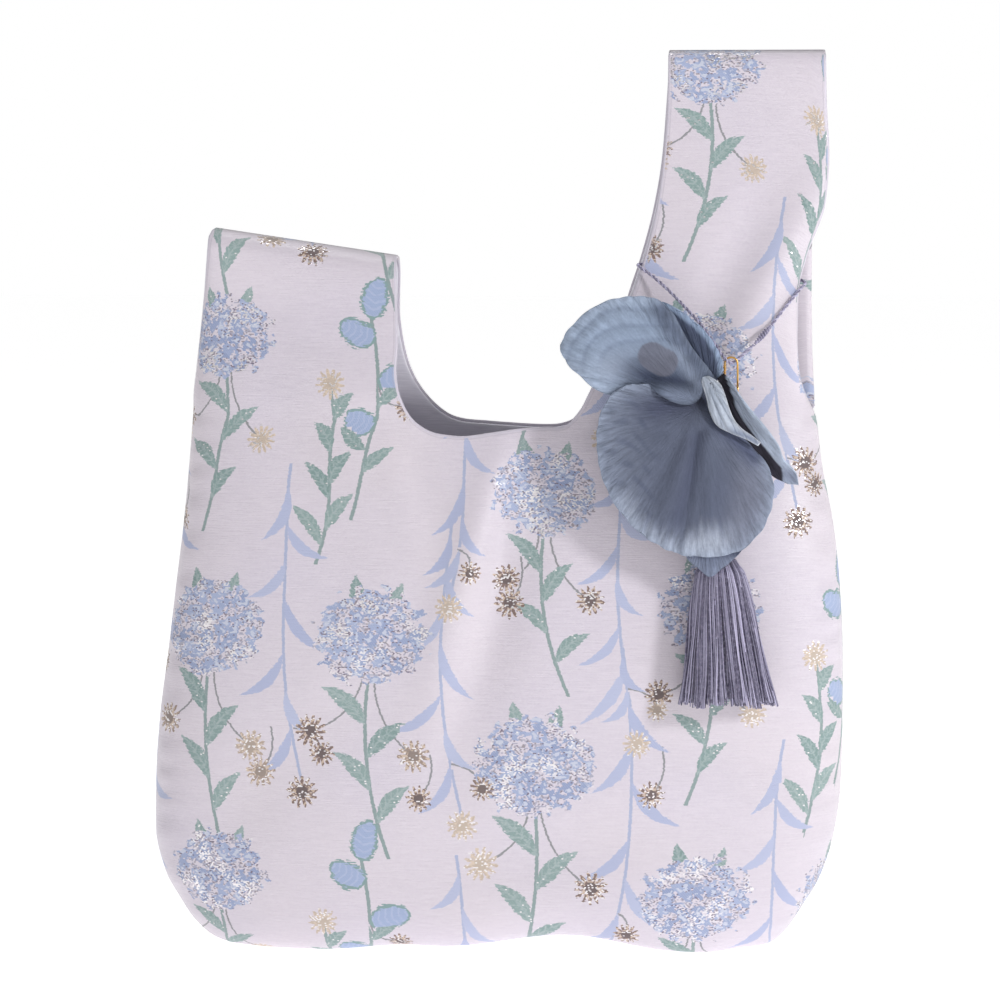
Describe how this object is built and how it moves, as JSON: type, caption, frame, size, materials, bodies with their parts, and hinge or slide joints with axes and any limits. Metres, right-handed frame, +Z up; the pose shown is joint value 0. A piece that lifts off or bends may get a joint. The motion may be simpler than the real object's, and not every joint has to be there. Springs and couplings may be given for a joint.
{
  "type": "brocade wrist bag with flower charm",
  "caption": "Small soft brocade bag with one short and one long loop handle, satin lining, and a charm of fabric petals and a tassel on a thin cord.",
  "frame": {"origin": "on the surface the bag stands on, under the middle of everything but the charm's cord", "axes": "+Z up, -Y out of the front that carries the charm, +X towards the long handle"},
  "size_m": [0.2394, 0.0766, 0.315],
  "materials": {
    "brocade": "pale lilac satin brocade woven with blue, green and silver flowers",
    "lining": "plain grey-lilac satin",
    "petal_cloth": "dusty blue pressed petal cloth with soft veins",
    "silk": "lilac silk thread",
    "gold_wire": "polished gold-coloured wire"
  },
  "bodies": {
    "root": {"front_panel": "brocade", "back_panel": "brocade", "front_lining": "lining", "back_lining": "lining", "petal_upper": "petal_cloth", "petal_behind": "petal_cloth", "petal_lower": "petal_cloth", "petal_fold": "petal_cloth", "petal_outer": "petal_cloth", "petal_tip": "petal_cloth", "flower_core": "petal_cloth", "tassel": "silk", "charm_ring": "gold_wire", "charm_cord": "silk", "cord_knot": "silk"}
  },
  "joints": []
}
